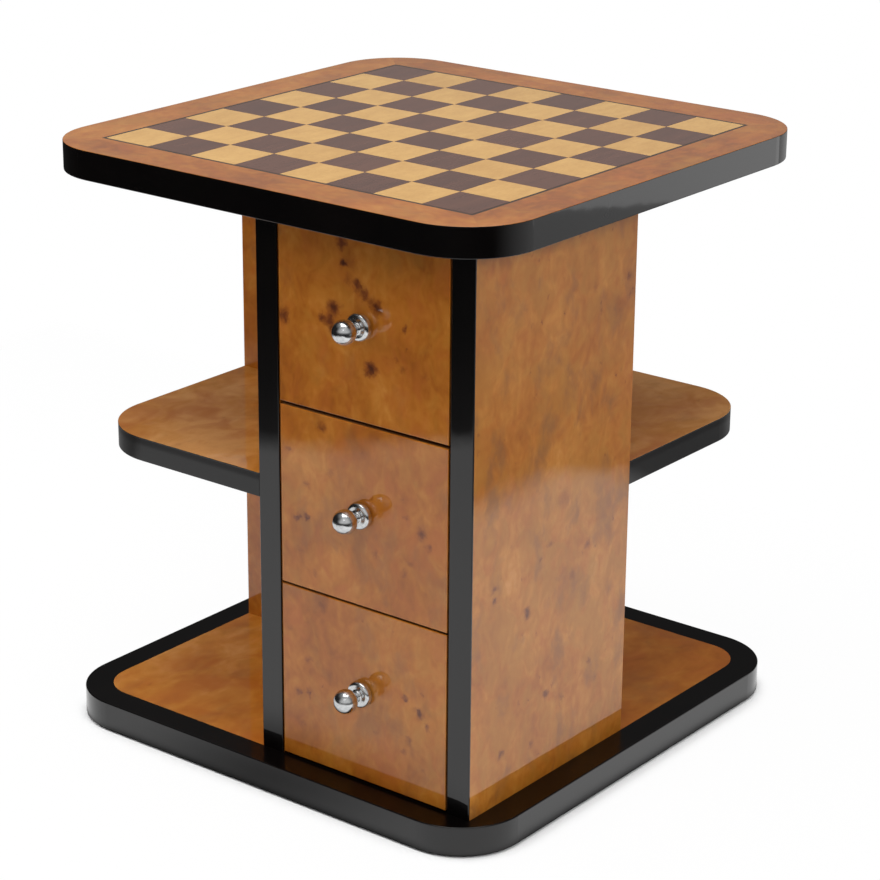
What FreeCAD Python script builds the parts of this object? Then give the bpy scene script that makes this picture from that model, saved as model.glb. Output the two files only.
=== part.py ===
"""Chess table: inlaid top, two three-drawer towers set as a pinwheel, two quarter shelves and a base.

Millimetres, +Z up. The origin is on the floor under the centre of the base. The front tower's drawers open
towards -Y, and everything behind or left of the middle is the front or right half turned by 180 degrees.
"""
import FreeCAD, Part
import math
import os

# Chess top
square_side = 61.0
squares_per_side = 8
string_width = 3.5
border_width = 52.5
top_thick = 32.0
veneer_thick = 1.5

# Base
base_setback = 2.5
base_thick = 33.0
base_corner_radius = 75.0
band_width = 31.5
pad_radius = 19.0
pad_thick = 2.0
pad_inset = 70.0

# Rounded corners, edges and glue lines
corner_radius = 80.0
edging_thick = 2.0
edge_ease = 0.8
veneer_ease = 0.6
base_ease = 1.5
ease_limit = 0.75
glue_gap = 0.15

# Carcass panels and shelves
carcass_height = 601.0
panel_thick = 28.0
back_panel_thick = 18.0
shelf_thick = 27.0
shelf_rise = 288.0

# Drawers
levels = ["bottom", "middle", "top"]
drawer_gap = 2.5
top_drawer_gap = 4.0
front_thick = 20.0
box_side_thick = 12.0
box_back_thick = 12.0
box_bottom_thick = 5.0
box_bottom_rise = 8.0
box_side_drop = 2.0
box_back_drop = 10.0
housing_depth = 6.0
housing_clear = 0.1
runner_width = 18.0
runner_height = 14.0
runner_setback = 1.0
run_clear = 0.3
stop_depth = 15.0
stop_height = 20.0

# Turned knob and its screw
knob_lift = 3.0
collar_radius = 14.5
collar_length = 10.0
collar_round = 4.0
neck_radius = 5.5
neck_round = 2.0
ball_radius = 13.0
ball_reach = 27.5
knob_screw_radius = 2.0
knob_screw_engage = 11.0
screw_head_radius = 4.2
screw_head_height = 2.6
screw_clear = 0.3
thread_clear = 0.1

# Dowels and base screws
dowel_radius = 4.0
dowel_length = 38.0
shelf_dowel_length = 29.0
shelf_dowel_in_panel = 11.0
dowel_inset = 60.0
dowel_clear = 0.2
dowel_end_gap = 0.5
base_screw_radius = 2.5
base_screw_head_radius = 5.0
base_screw_head_height = 3.0
base_screw_grip = 35.0
base_screw_sink = 1.0

# Plan sizes that follow from the board of squares outwards
board_half = squares_per_side * square_side / 2
string_half = board_half + string_width
top_side = 2 * (string_half + border_width)
base_side = top_side - 2 * base_setback
foot_half = base_side / 2 - band_width
field_radius = base_corner_radius - band_width
partition_half = panel_thick / 2
back_half = back_panel_thick / 2
bay_right = foot_half - panel_thick

# Levels that follow from the floor upwards
base_bottom = pad_thick
base_top = base_bottom + base_thick
carcass_top = base_top + carcass_height
inlay_bottom = carcass_top + top_thick - veneer_thick
top_face = carcass_top + top_thick
shelf_bottom = base_top + shelf_rise
shelf_top = shelf_bottom + shelf_thick
shelf_veneer_bottom = shelf_top - veneer_thick
field_bottom = base_top - veneer_thick
carcass_span = (base_top, carcass_top)
drawer_gaps = len(levels) * drawer_gap + top_drawer_gap
front_height = (carcass_height - drawer_gaps) / len(levels)

vector = FreeCAD.Vector
middle = vector(0, 0, 0)
up = vector(0, 0, 1)
same_place = 1e-4


def block(x_span, y_span, z_span):
    """Box between two limits on each axis."""
    size = [high - low for low, high in (x_span, y_span, z_span)]
    return Part.makeBox(*size, vector(x_span[0], y_span[0], z_span[0]))


def half_turn(shapes):
    """The same pieces on the other side of the table."""
    turned = [shape.copy() for shape in shapes]
    for shape in turned:
        shape.rotate(middle, up, 180)
    return turned


def cut(shape, tools):
    """Shape with every tool taken away, as one solid."""
    return shape.cut(tools).removeSplitter().Solids[0]


def corner_arc(centre_x, centre_y, radius, start_degrees, z):
    """Quarter arc, anticlockwise."""
    points = []
    for turn in (0, 45, 90):
        angle = math.radians(start_degrees + turn)
        points.append(vector(centre_x + radius * math.cos(angle), centre_y + radius * math.sin(angle), z))
    return Part.Arc(*points).toShape()


def joined_face(arcs_and_points):
    """Face inside a closed run of arcs and corner points, with straight lines between neighbours."""
    edges = []
    ends = [(item.Vertexes[0].Point, item.Vertexes[-1].Point) for item in arcs_and_points]
    for index, item in enumerate(arcs_and_points):
        edges += item.Edges
        leave = ends[index][1]
        arrive = ends[(index + 1) % len(ends)][0]
        if leave.distanceToPoint(arrive) > same_place:
            edges.append(Part.makeLine(leave, arrive))
    return Part.Face(Part.Wire(edges))


def rounded_plate(side, radius, z_low, z_high):
    """Square plate about the middle with four rounded corners."""
    centre = side / 2 - radius
    arcs = [
        corner_arc(centre, centre, radius, 0, z_low),
        corner_arc(-centre, centre, radius, 90, z_low),
        corner_arc(-centre, -centre, radius, 180, z_low),
        corner_arc(centre, -centre, radius, 270, z_low),
    ]
    return joined_face(arcs).extrude(vector(0, 0, z_high - z_low))


def level_edges(shape, z):
    """Edges that lie flat at one height."""
    box_ends = [(edge, edge.BoundBox.ZMin, edge.BoundBox.ZMax) for edge in shape.Edges]
    return [edge for edge, low, high in box_ends if max(abs(low - z), abs(high - z)) < same_place]


def ease_within(ease, wall):
    """Rounding radius for an arris, held to most of the thickness it is cut from."""
    return min(ease, ease_limit * wall)


def mitre_wedges(reach, z_low, z_high):
    """Four triangular prisms from the middle out, which part a frame along its diagonals."""
    corners = [vector(-reach, -reach, z_low), vector(reach, -reach, z_low)]
    triangle = Part.Face(Part.makePolygon([vector(0, 0, z_low), *corners, vector(0, 0, z_low)]))
    first = triangle.extrude(vector(0, 0, z_high - z_low))
    wedges = []
    for quarter in range(4):
        wedge = first.copy()
        wedge.rotate(middle, up, 90 * quarter)
        wedges.append(wedge)
    return wedges


def upright_rod(x, y, z_low, z_high, radius):
    return Part.makeCylinder(radius, z_high - z_low, vector(x, y, z_low))


# Dowel and screw places in plan: two in each side panel and the same two, mirrored, in the partition
panel_rows = [-foot_half + dowel_inset, back_half - dowel_inset]
side_panel_x = foot_half - panel_thick / 2
front_dowel_places = [(x, y) for x in (0.0, side_panel_x) for y in panel_rows]
dowel_places = front_dowel_places + [(-x, -y) for x, y in front_dowel_places]
screw_row = sum(panel_rows) / 2
front_screw_places = [(0.0, screw_row), (side_panel_x, screw_row)]
screw_places = front_screw_places + [(-x, -y) for x, y in front_screw_places]


def dowel_holes(level):
    """Drillings for the upright dowels that cross one level."""
    reach = dowel_length / 2 + dowel_end_gap
    radius = dowel_radius + dowel_clear
    return [upright_rod(x, y, level - reach, level + reach, radius) for x, y in dowel_places]


def carcass_dowels():
    solids = []
    for level in (base_top, carcass_top):
        low = level - dowel_length / 2
        solids += [upright_rod(x, y, low, low + dowel_length, dowel_radius) for x, y in dowel_places]
    return solids


def base_screw_body(x, y, extra):
    """Countersunk screw driven up through the base; extra widens it into its own drilling."""
    head_low = base_bottom + base_screw_sink
    shank_top = base_top + base_screw_grip
    head_radius = base_screw_head_radius + extra
    shank_radius = base_screw_radius + extra
    head = Part.makeCone(head_radius, shank_radius, base_screw_head_height, vector(x, y, head_low))
    shank = upright_rod(x, y, head_low + base_screw_head_height, shank_top + extra, shank_radius)
    return head.fuse(shank).removeSplitter().Solids[0]


def base_screws():
    return [base_screw_body(x, y, 0.0) for x, y in screw_places]


def base_screw_holes():
    """Drillings for the base screws, open below so that the heads can be reached."""
    holes = [base_screw_body(x, y, screw_clear) for x, y in screw_places]
    mouth_radius = base_screw_head_radius + screw_clear
    mouth_top = base_bottom + base_screw_sink
    return holes + [upright_rod(x, y, base_bottom, mouth_top, mouth_radius) for x, y in screw_places]


def top_core():
    inset = edging_thick + glue_gap
    plate = rounded_plate(top_side - 2 * inset, corner_radius - inset, carcass_top, inlay_bottom)
    return [cut(plate, dowel_holes(carcass_top))]


def top_edging():
    outer = rounded_plate(top_side, corner_radius, carcass_top, inlay_bottom)
    ease = ease_within(edge_ease, edging_thick)
    outer = outer.makeFillet(ease, level_edges(outer, carcass_top))
    inner_side = top_side - 2 * edging_thick
    inner = rounded_plate(inner_side, corner_radius - edging_thick, carcass_top, inlay_bottom)
    return [cut(outer, [inner])]


def top_border():
    """Burl border in four mitred lengths, its outer arris eased."""
    sheet = rounded_plate(top_side, corner_radius, inlay_bottom, top_face)
    ease = ease_within(veneer_ease, veneer_thick)
    sheet = sheet.makeFillet(ease, level_edges(sheet, top_face))
    field = block((-string_half, string_half), (-string_half, string_half), (inlay_bottom, top_face))
    frame = sheet.cut(field)
    return [frame.common(wedge).Solids[0] for wedge in mitre_wedges(top_side, inlay_bottom, top_face)]


def top_stringing():
    """Thin dark line round the squares, mitred at its four corners."""
    outer = block((-string_half, string_half), (-string_half, string_half), (inlay_bottom, top_face))
    inner = block((-board_half, board_half), (-board_half, board_half), (inlay_bottom, top_face))
    frame = outer.cut(inner)
    return [frame.common(wedge).Solids[0] for wedge in mitre_wedges(top_side, inlay_bottom, top_face)]


def board_squares(remainder):
    """Squares of one colour; remainder 0 holds the front left corner."""
    solids = []
    for column in range(squares_per_side):
        for row in range(squares_per_side):
            if (column + row) % 2 == remainder:
                x_low = column * square_side - board_half
                y_low = row * square_side - board_half
                spans = (x_low, x_low + square_side), (y_low, y_low + square_side)
                solids.append(block(*spans, (inlay_bottom, top_face)))
    return solids


def base_board():
    plate = rounded_plate(base_side, base_corner_radius, base_bottom, base_top)
    plate = plate.makeFillet(base_ease, level_edges(plate, base_bottom) + level_edges(plate, base_top))
    pocket = rounded_plate(2 * foot_half, field_radius, field_bottom, base_top)
    return [cut(plate, [pocket] + dowel_holes(base_top) + base_screw_holes())]


def base_burl_field():
    side = 2 * (foot_half - glue_gap)
    sheet = rounded_plate(side, field_radius - glue_gap, field_bottom, base_top)
    return [cut(sheet, dowel_holes(base_top) + base_screw_holes())]


def felt_pads():
    place = base_side / 2 - pad_inset
    return [upright_rod(x, y, 0, pad_thick, pad_radius) for x in (-place, place) for y in (-place, place)]


def shelf_dowel_pieces(length, extra):
    """Level rods that hang the left shelf on the partition and on the rear tower's back."""
    half_height = (shelf_bottom + shelf_top) / 2
    in_panel = shelf_dowel_in_panel + extra
    radius = dowel_radius + (dowel_clear if extra else 0.0)
    rods = []
    for y in (-foot_half + dowel_inset, -back_half - dowel_inset):
        start = vector(-partition_half + in_panel, y, half_height)
        rods.append(Part.makeCylinder(radius, length + 2 * extra, start, vector(-1, 0, 0)))
    for x in (-partition_half - dowel_inset, -bay_right + dowel_inset):
        start = vector(x, -back_half + in_panel, half_height)
        rods.append(Part.makeCylinder(radius, length + 2 * extra, start, vector(0, -1, 0)))
    return rods


def shelf_dowels():
    rods = shelf_dowel_pieces(shelf_dowel_length, 0.0)
    return rods + half_turn(rods)


def shelf_dowel_holes():
    rods = shelf_dowel_pieces(shelf_dowel_length, dowel_end_gap)
    return rods + half_turn(rods)


def panel_drillings():
    return dowel_holes(base_top) + dowel_holes(carcass_top) + base_screw_holes() + shelf_dowel_holes()


def central_partition():
    reach = foot_half - edging_thick
    board = block((-partition_half, partition_half), (-reach, reach), carcass_span)
    return [cut(board, panel_drillings())]


def right_side_panel():
    board = block((bay_right, foot_half), (-foot_half + edging_thick, back_half), carcass_span)
    return [cut(board, panel_drillings())]


def front_tower_back():
    board = block((partition_half, bay_right), (-back_half, back_half), carcass_span)
    return [cut(board, shelf_dowel_holes())]


def panel_edging():
    """Black strips on the front ends of the partition and side panel, and on the same ends behind."""
    strips = []
    for x_span in ((-partition_half, partition_half), (bay_right, foot_half)):
        strip = block(x_span, (-foot_half, -foot_half + edging_thick), carcass_span)
        upright = [edge for edge in strip.Edges if abs(edge.tangentAt(edge.FirstParameter).z) > 0.5]
        outer = [edge for edge in upright if abs(edge.CenterOfMass.y + foot_half) < same_place]
        strips.append(strip.makeFillet(ease_within(edge_ease, edging_thick), outer))
    return strips + half_turn(strips)


def shelf_plate(inset, z_low, z_high):
    """Left quarter shelf with its outer corner rounded; inset takes the edging off its two free sides."""
    low = -foot_half + inset
    centre = -foot_half + corner_radius
    arc = corner_arc(centre, centre, corner_radius - inset, 180, z_low)
    walls = [
        Part.Vertex(-partition_half, low, z_low),
        Part.Vertex(-partition_half, -back_half, z_low),
        Part.Vertex(low, -back_half, z_low),
    ]
    return joined_face([arc] + walls).extrude(vector(0, 0, z_high - z_low))


def left_shelf():
    """Shelf board whose top veneer runs out over the edging, with the veneer's free arris eased."""
    board = shelf_plate(edging_thick + glue_gap, shelf_bottom, shelf_top)
    veneer = shelf_plate(0.0, shelf_veneer_bottom, shelf_top)
    veneer = veneer.makeFillet(ease_within(veneer_ease, veneer_thick), free_shelf_edges(veneer, shelf_top))
    return [cut(board.fuse(veneer), shelf_dowel_holes())]


def left_shelf_edging():
    strip = shelf_plate(0.0, shelf_bottom, shelf_veneer_bottom)
    strip = strip.makeFillet(ease_within(edge_ease, edging_thick), free_shelf_edges(strip, shelf_bottom))
    return [cut(strip, [shelf_plate(edging_thick, shelf_bottom, shelf_veneer_bottom)])]


def free_shelf_edges(plate, z):
    """Edges at one height along the shelf's two open sides and its round corner."""
    return [edge for edge in level_edges(plate, z) if not on_shelf_wall(edge)]


def on_shelf_wall(edge):
    """True for an edge along the partition or along the rear tower's back."""
    box = edge.BoundBox
    return box.XMin > -partition_half - same_place or box.YMin > -back_half - same_place


# Drawer box places shared by the drawer pieces, the runners and the stops
front_back_face = -foot_half + front_thick
box_rear = -back_half - stop_depth - run_clear
box_left = partition_half + drawer_gap
box_right = bay_right - drawer_gap
inner_left = box_left + box_side_thick
inner_right = box_right - box_side_thick
drawer_middle_x = (partition_half + bay_right) / 2


def drawer_base_level(level):
    """Height of a drawer front's lower edge; the joint under the top drawer is the widest."""
    low = base_top + drawer_gap + levels.index(level) * (front_height + drawer_gap)
    return low + top_drawer_gap - drawer_gap if level == levels[-1] else low


def box_base_level(level):
    """Height of the drawer sides' lower edge, just clear of the runners."""
    return drawer_base_level(level) + runner_height + run_clear


def box_floor_level(level):
    """Height of the bottom board's upper face."""
    return box_base_level(level) + box_bottom_rise + box_bottom_thick


def box_top_level(level):
    """Height of the drawer sides' upper edge."""
    return drawer_base_level(level) + front_height - box_side_drop


def drawer_side_boards(level, extra):
    """Both drawer sides; extra widens them into their housings in the front."""
    y_span = (front_back_face - housing_depth - extra, box_rear)
    z_span = (box_base_level(level) - extra, box_top_level(level) + extra)
    left = block((box_left - extra, inner_left + extra), y_span, z_span)
    right = block((inner_right - extra, box_right + extra), y_span, z_span)
    return [left, right]


def drawer_bottom_board(level, extra):
    """Bottom board; extra widens it into its grooves, but not upwards."""
    floor_top = box_floor_level(level)
    x_span = (inner_left - housing_depth - extra, inner_right + housing_depth + extra)
    y_span = (front_back_face - housing_depth - extra, box_rear + extra)
    return block(x_span, y_span, (floor_top - box_bottom_thick - extra, floor_top))


def knob_centre_level(level):
    return drawer_base_level(level) + front_height / 2 + knob_lift


def knob_axis_rod(level, radius, y_start, length):
    """Rod on the knob's axis, running inwards from y_start."""
    start = vector(drawer_middle_x, y_start, knob_centre_level(level))
    return Part.makeCylinder(radius, length, start, vector(0, 1, 0))


def drawer_front(level):
    low = drawer_base_level(level)
    board = block((box_left, box_right), (-foot_half, front_back_face), (low, low + front_height))
    show = [edge for edge in board.Edges if abs(edge.BoundBox.YMax + foot_half) < same_place]
    board = board.makeFillet(edge_ease, show)
    bolt_hole = knob_axis_rod(level, knob_screw_radius + screw_clear, -foot_half, front_thick)
    housings = drawer_side_boards(level, housing_clear) + [drawer_bottom_board(level, housing_clear)]
    return [cut(board, housings + [bolt_hole])]


def drawer_sides(level):
    groove = drawer_bottom_board(level, housing_clear)
    return [cut(board, [groove]) for board in drawer_side_boards(level, 0.0)]


def drawer_back(level):
    y_span = (box_rear - box_back_thick, box_rear)
    z_span = (box_floor_level(level), box_top_level(level) - box_back_drop)
    return [block((inner_left, inner_right), y_span, z_span)]


def drawer_bottom(level):
    return [drawer_bottom_board(level, 0.0)]


def knob(level):
    """Collar, neck and ball turned in one piece, with a tapped hole for the screw."""
    bore_radius = knob_screw_radius + thread_clear
    bore_depth = knob_screw_engage + screw_clear
    diagonal = math.sqrt(0.5)
    ball_start = ball_reach - math.sqrt(ball_radius ** 2 - neck_radius ** 2)
    rim = collar_radius - collar_round
    fillet_mid = neck_round * (1 - diagonal)
    round_mid = collar_round * diagonal

    def point(radius, reach):
        return vector(drawer_middle_x + radius, -foot_half - reach, knob_centre_level(level))

    edges = [
        Part.makeLine(point(bore_radius, 0), point(rim, 0)),
        Part.Arc(
            point(rim, 0),
            point(rim + round_mid, collar_round - round_mid),
            point(collar_radius, collar_round),
        ).toShape(),
        Part.makeLine(point(collar_radius, collar_round), point(collar_radius, collar_length - collar_round)),
        Part.Arc(
            point(collar_radius, collar_length - collar_round),
            point(rim + round_mid, collar_length - collar_round + round_mid),
            point(rim, collar_length),
        ).toShape(),
        Part.makeLine(point(rim, collar_length), point(neck_radius + neck_round, collar_length)),
        Part.Arc(
            point(neck_radius + neck_round, collar_length),
            point(neck_radius + fillet_mid, collar_length + fillet_mid),
            point(neck_radius, collar_length + neck_round),
        ).toShape(),
        Part.makeLine(point(neck_radius, collar_length + neck_round), point(neck_radius, ball_start)),
        Part.Arc(
            point(neck_radius, ball_start),
            point(ball_radius, ball_reach),
            point(0, ball_reach + ball_radius),
        ).toShape(),
        Part.makeLine(point(0, ball_reach + ball_radius), point(0, bore_depth)),
        Part.makeLine(point(0, bore_depth), point(bore_radius, bore_depth)),
        Part.makeLine(point(bore_radius, bore_depth), point(bore_radius, 0)),
    ]
    profile = Part.Face(Part.Wire(edges))
    return [profile.revolve(point(0, 0), vector(0, 1, 0), 360).Solids[0]]


def knob_screw(level):
    """Round-head screw from inside the drawer, through the front and into the knob."""
    tip = -foot_half - knob_screw_engage
    shank = knob_axis_rod(level, knob_screw_radius, tip, front_back_face - tip)
    head = knob_axis_rod(level, screw_head_radius, front_back_face, screw_head_height)
    head = head.makeFillet(screw_head_height / 2, [rim_edge(head)])
    return [shank.fuse(head).removeSplitter().Solids[0]]


def rim_edge(head):
    """Round edge of the screw head on the inside of the drawer."""
    rims = [edge for edge in head.Edges if isinstance(edge.Curve, Part.Circle)]
    return max(rims, key=lambda edge: edge.BoundBox.YMin)


runner_left_span = (partition_half, partition_half + runner_width)
runner_right_span = (bay_right - runner_width, bay_right)


def runners():
    """Hardwood strips on both walls of the tower, one pair under each drawer's sides."""
    y_span = (front_back_face + runner_setback, -back_half)
    solids = []
    for level in levels:
        low = drawer_base_level(level)
        for x_span in (runner_left_span, runner_right_span):
            solids.append(block(x_span, y_span, (low, low + runner_height)))
    return solids


def drawer_stops():
    """Blocks on the runners that stop each drawer flush with the panels."""
    y_span = (-back_half - stop_depth, -back_half)
    solids = []
    for level in levels:
        low = drawer_base_level(level) + runner_height
        for x_span in (runner_left_span, runner_right_span):
            solids.append(block(x_span, y_span, (low, low + stop_height)))
    return solids


def write_node(node, solids):
    shape = solids[0] if len(solids) == 1 else Part.makeCompound(solids)
    shape.exportStep(os.path.join("parts", node + ".step"))


os.makedirs("parts", exist_ok=True)

write_node("felt_pads", felt_pads())
write_node("base_board", base_board())
write_node("base_burl_field", base_burl_field())
write_node("base_screws", base_screws())
write_node("carcass_dowels", carcass_dowels())
write_node("central_partition", central_partition())
write_node("right_side_panel", right_side_panel())
write_node("left_side_panel", half_turn(right_side_panel()))
write_node("front_tower_back", front_tower_back())
write_node("rear_tower_back", half_turn(front_tower_back()))
write_node("panel_edging", panel_edging())
write_node("shelf_dowels", shelf_dowels())
write_node("left_shelf", left_shelf())
write_node("right_shelf", half_turn(left_shelf()))
write_node("shelf_edging", left_shelf_edging() + half_turn(left_shelf_edging()))
write_node("drawer_runners", runners() + half_turn(runners()))
write_node("drawer_stops", drawer_stops() + half_turn(drawer_stops()))
write_node("top_core", top_core())
write_node("top_edging", top_edging())
write_node("top_border", top_border())
write_node("top_stringing", top_stringing())
write_node("light_squares", board_squares(0))
write_node("dark_squares", board_squares(1))

drawer_pieces = {
    "front": drawer_front,
    "sides": drawer_sides,
    "back": drawer_back,
    "bottom": drawer_bottom,
    "knob": knob,
    "knob_screw": knob_screw,
}
for level in levels:
    for piece, make in drawer_pieces.items():
        solids = make(level)
        write_node(f"front_{level}_drawer_{piece}", solids)
        write_node(f"rear_{level}_drawer_{piece}", half_turn(solids))
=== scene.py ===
"""Chess table with an inlaid board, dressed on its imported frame: drawer towers, shelves and gloss."""
import math

import bmesh
import bpy
from mathutils import Euler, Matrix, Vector


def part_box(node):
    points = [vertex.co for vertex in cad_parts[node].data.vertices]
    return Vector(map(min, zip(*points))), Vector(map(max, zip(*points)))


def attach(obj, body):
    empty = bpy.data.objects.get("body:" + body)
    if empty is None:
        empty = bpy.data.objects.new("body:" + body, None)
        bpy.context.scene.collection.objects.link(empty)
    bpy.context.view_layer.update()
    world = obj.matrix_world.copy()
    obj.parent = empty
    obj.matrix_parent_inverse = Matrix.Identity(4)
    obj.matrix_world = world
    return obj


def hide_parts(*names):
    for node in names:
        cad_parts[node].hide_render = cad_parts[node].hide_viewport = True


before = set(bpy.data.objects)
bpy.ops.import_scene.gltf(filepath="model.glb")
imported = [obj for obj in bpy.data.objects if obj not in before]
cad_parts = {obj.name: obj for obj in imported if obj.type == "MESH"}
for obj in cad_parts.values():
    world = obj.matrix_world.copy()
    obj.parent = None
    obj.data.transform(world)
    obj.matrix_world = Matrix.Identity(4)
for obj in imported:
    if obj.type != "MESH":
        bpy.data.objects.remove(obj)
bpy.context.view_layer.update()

# Felt pads
# Four black wool felt discs under the corners of the base, stamped from sheet and glued on.
# They carry the table and keep its lacquer off the floor.
FELT_DARK = (0.008, 0.008, 0.009, 1)
FELT_LIGHT = (0.032, 0.031, 0.032, 1)
FELT_FIBRES_PER_METRE = 900
FELT_NAP = 0.0004


def add_node(tree, kind, values=None, **settings):
    """New node in a tree; values go to its inputs by name, settings to its own properties."""
    node = tree.nodes.new(kind)
    for name, value in settings.items():
        setattr(node, name, value)
    for name, value in (values or {}).items():
        node.inputs[name].default_value = value
    return node


def join(tree, target, *sources):
    """Wire sources to a node's inputs by name, as (socket, input name) pairs."""
    for socket, name in sources:
        tree.links.new(socket, target.inputs[name])
    return target


def new_finish(name, **surface):
    """Material with a principled surface; constant values sit on the surface's own sockets."""
    material = bpy.data.materials.new(name)
    material.use_nodes = True
    shader = material.node_tree.nodes["Principled BSDF"]
    for socket, value in surface.items():
        shader.inputs[socket.replace("_", " ").title().replace("Ior", "IOR")].default_value = value
    return material, material.node_tree, shader


def object_place(tree, scale=(1, 1, 1), location=(0, 0, 0), rotation=(0, 0, 0)):
    """Object coordinates in metres, stretched, moved or turned for one pattern."""
    coordinates = add_node(tree, "ShaderNodeTexCoord")
    values = {"Scale": scale, "Location": location, "Rotation": rotation}
    mapping = add_node(tree, "ShaderNodeMapping", values)
    join(tree, mapping, (coordinates.outputs["Object"], "Vector"))
    return mapping.outputs["Vector"]


def noise(tree, place, scale, detail=3.0, roughness=0.5, distortion=0.0):
    """Cloudy grey value at a place; scale counts features per metre."""
    values = {"Scale": scale, "Detail": detail, "Roughness": roughness, "Distortion": distortion}
    texture = add_node(tree, "ShaderNodeTexNoise", values)
    return join(tree, texture, (place, "Vector"))


def colour_steps(tree, value, steps):
    """Colour ramp with (position, colour) steps."""
    ramp = add_node(tree, "ShaderNodeValToRGB")
    elements = ramp.color_ramp.elements
    while len(elements) < len(steps):
        elements.new(0.5)
    for element, (position, colour) in zip(elements, steps):
        element.position = position
        element.color = colour
    tree.links.new(value, ramp.inputs["Fac"])
    return ramp.outputs["Color"]


def bump(tree, shader, height, depth, layer="Normal"):
    """Relief on a surface, or on its coat, from a grey value; its depth is in metres."""
    relief = add_node(tree, "ShaderNodeBump", {"Distance": depth})
    join(tree, relief, (height, "Height"))
    tree.links.new(relief.outputs["Normal"], shader.inputs[layer])


def put_on(material, *nodes):
    """Give CAD pieces this finish."""
    for node in nodes:
        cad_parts[node].material_slots[0].material = material


felt, tree, shader = new_finish("black_wool_felt", roughness=0.95, sheen_weight=0.25)
fibres = noise(tree, object_place(tree), FELT_FIBRES_PER_METRE, detail=4.0, roughness=0.7)
felt_colour = colour_steps(tree, fibres.outputs["Fac"], [(0.3, FELT_DARK), (0.7, FELT_LIGHT)])
tree.links.new(felt_colour, shader.inputs["Base Color"])
bump(tree, shader, fibres.outputs["Fac"], FELT_NAP)
put_on(felt, "felt_pads")

# Base board
# Square board with 75 mm round corners, sprayed black, its edge polished and its face rubbed down duller.
# The same black lacquer covers the edgings of the top, the shelves and the upright panels.
LACQUER_DEEP = (0.0010, 0.0006, 0.0006, 1)
LACQUER_WORN = (0.0026, 0.0017, 0.0015, 1)
GLOSS_LACQUER = {"specular_ior_level": 0.12, "coat_weight": 1.0, "coat_ior": 1.55, "coat_roughness": 0.035}
LACQUER_HAZE_PER_METRE = 14
LACQUER_WAVES_PER_METRE = 32
LACQUER_WAVE_DEPTH = 0.00006
POLISHED_SHINE = 1.0
RUBBED_SHINE = 0.32
RUBBED_FROM = 0.0006
RUBBED_TO = 0.0001


def soft_step(tree, value, start, end, low=0.0, high=1.0):
    """Result eased from low to high as a value goes from start to end."""
    values = {"From Min": start, "From Max": end, "To Min": low, "To Max": high}
    step = add_node(tree, "ShaderNodeMapRange", values, interpolation_type="SMOOTHSTEP")
    return join(tree, step, (value, "Value")).outputs["Result"]


def axes(tree):
    """Object coordinates one by one."""
    return join(tree, add_node(tree, "ShaderNodeSeparateXYZ"), (object_place(tree), "Vector")).outputs


def polish_waves(tree, shader, waves_per_metre, depth):
    """Slow waves left in a lacquer by hand polishing, which bend what it mirrors."""
    waves = noise(tree, object_place(tree), waves_per_metre, detail=1.5)
    bump(tree, shader, waves.outputs["Fac"], depth, layer="Coat Normal")


def polished_lacquer(name):
    """Black lacquer polished to a mirror."""
    material, tree, shader = new_finish(name, roughness=0.3, **GLOSS_LACQUER)
    haze = noise(tree, object_place(tree), LACQUER_HAZE_PER_METRE, detail=4.0, roughness=0.6)
    colour = colour_steps(tree, haze.outputs["Fac"], [(0.35, LACQUER_DEEP), (0.75, LACQUER_WORN)])
    tree.links.new(colour, shader.inputs["Base Color"])
    polish_waves(tree, shader, LACQUER_WAVES_PER_METRE, LACQUER_WAVE_DEPTH)
    return material


def surface_of(material):
    """Principled surface of a finish."""
    return material.node_tree.nodes["Principled BSDF"]


def shine_by_height(material, low_level, high_level, low_shine, high_shine):
    """Polish of a lacquer eased from one shine to another between two heights."""
    tree = material.node_tree
    shine = soft_step(tree, axes(tree)["Z"], low_level, high_level, low_shine, high_shine)
    tree.links.new(shine, surface_of(material).inputs["Coat Weight"])


base_lacquer = polished_lacquer("base_lacquer")
base_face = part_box("base_board")[1].z
shine_by_height(base_lacquer, base_face - RUBBED_FROM, base_face - RUBBED_TO, POLISHED_SHINE, RUBBED_SHINE)
put_on(base_lacquer, "base_board")
put_on(polished_lacquer("polished_black_lacquer"), "panel_edging", "top_edging")

# Burl field of the base
# Burl veneer let into the base board inside its black band, under clear gloss lacquer.
# Burl is cut from a knotty growth: a clouded amber ground, curled grain, smoky drifts, dark eyes and specks.
# Under the two towers, in the quarters where x and y differ in sign, the field is blacked out.
BURL_DARK = (0.25, 0.068, 0.005, 1)
BURL_AMBER = (0.335, 0.100, 0.007, 1)
BURL_GOLD = (0.40, 0.132, 0.012, 1)
BURL_PALE = (0.48, 0.185, 0.026, 1)
BURL_CREAM = (0.60, 0.275, 0.075, 1)
BURL_RED = (0.37, 0.095, 0.012, 1)
BURL_OLIVE = (0.35, 0.140, 0.014, 1)
SMOKE = (0.20, 0.076, 0.022, 1)
EYE_HALO = (0.165, 0.038, 0.006, 1)
EYE_CORE = (0.055, 0.013, 0.004, 1)
CURLS_PER_METRE = 20
CURL_REACH = 0.022
CLOUDS_PER_METRE = 14
MOTTLE_PER_METRE = 50
DABS_PER_METRE = 150
PORES_PER_METRE = 1300
DRIFTS_PER_METRE = 26
SPECKS_PER_METRE = 75
SPECK_RAGS_PER_METRE = 260
SPECK_RAG_REACH = 0.01
SPECK_HERDS_PER_METRE = 16
EYE_FADE = 1.6
EYE_BENDS_PER_METRE = 90
EYE_BEND_REACH = 0.013
EYE_RAGS_PER_METRE = 330
EYE_RAG_REACH = 0.006
VENEER_ROUGHNESS = 0.45
VENEER_GRAIN_DEPTH = 0.00002
BURL_WAVES_PER_METRE = 24
BURL_WAVE_DEPTH = 0.0002


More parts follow.
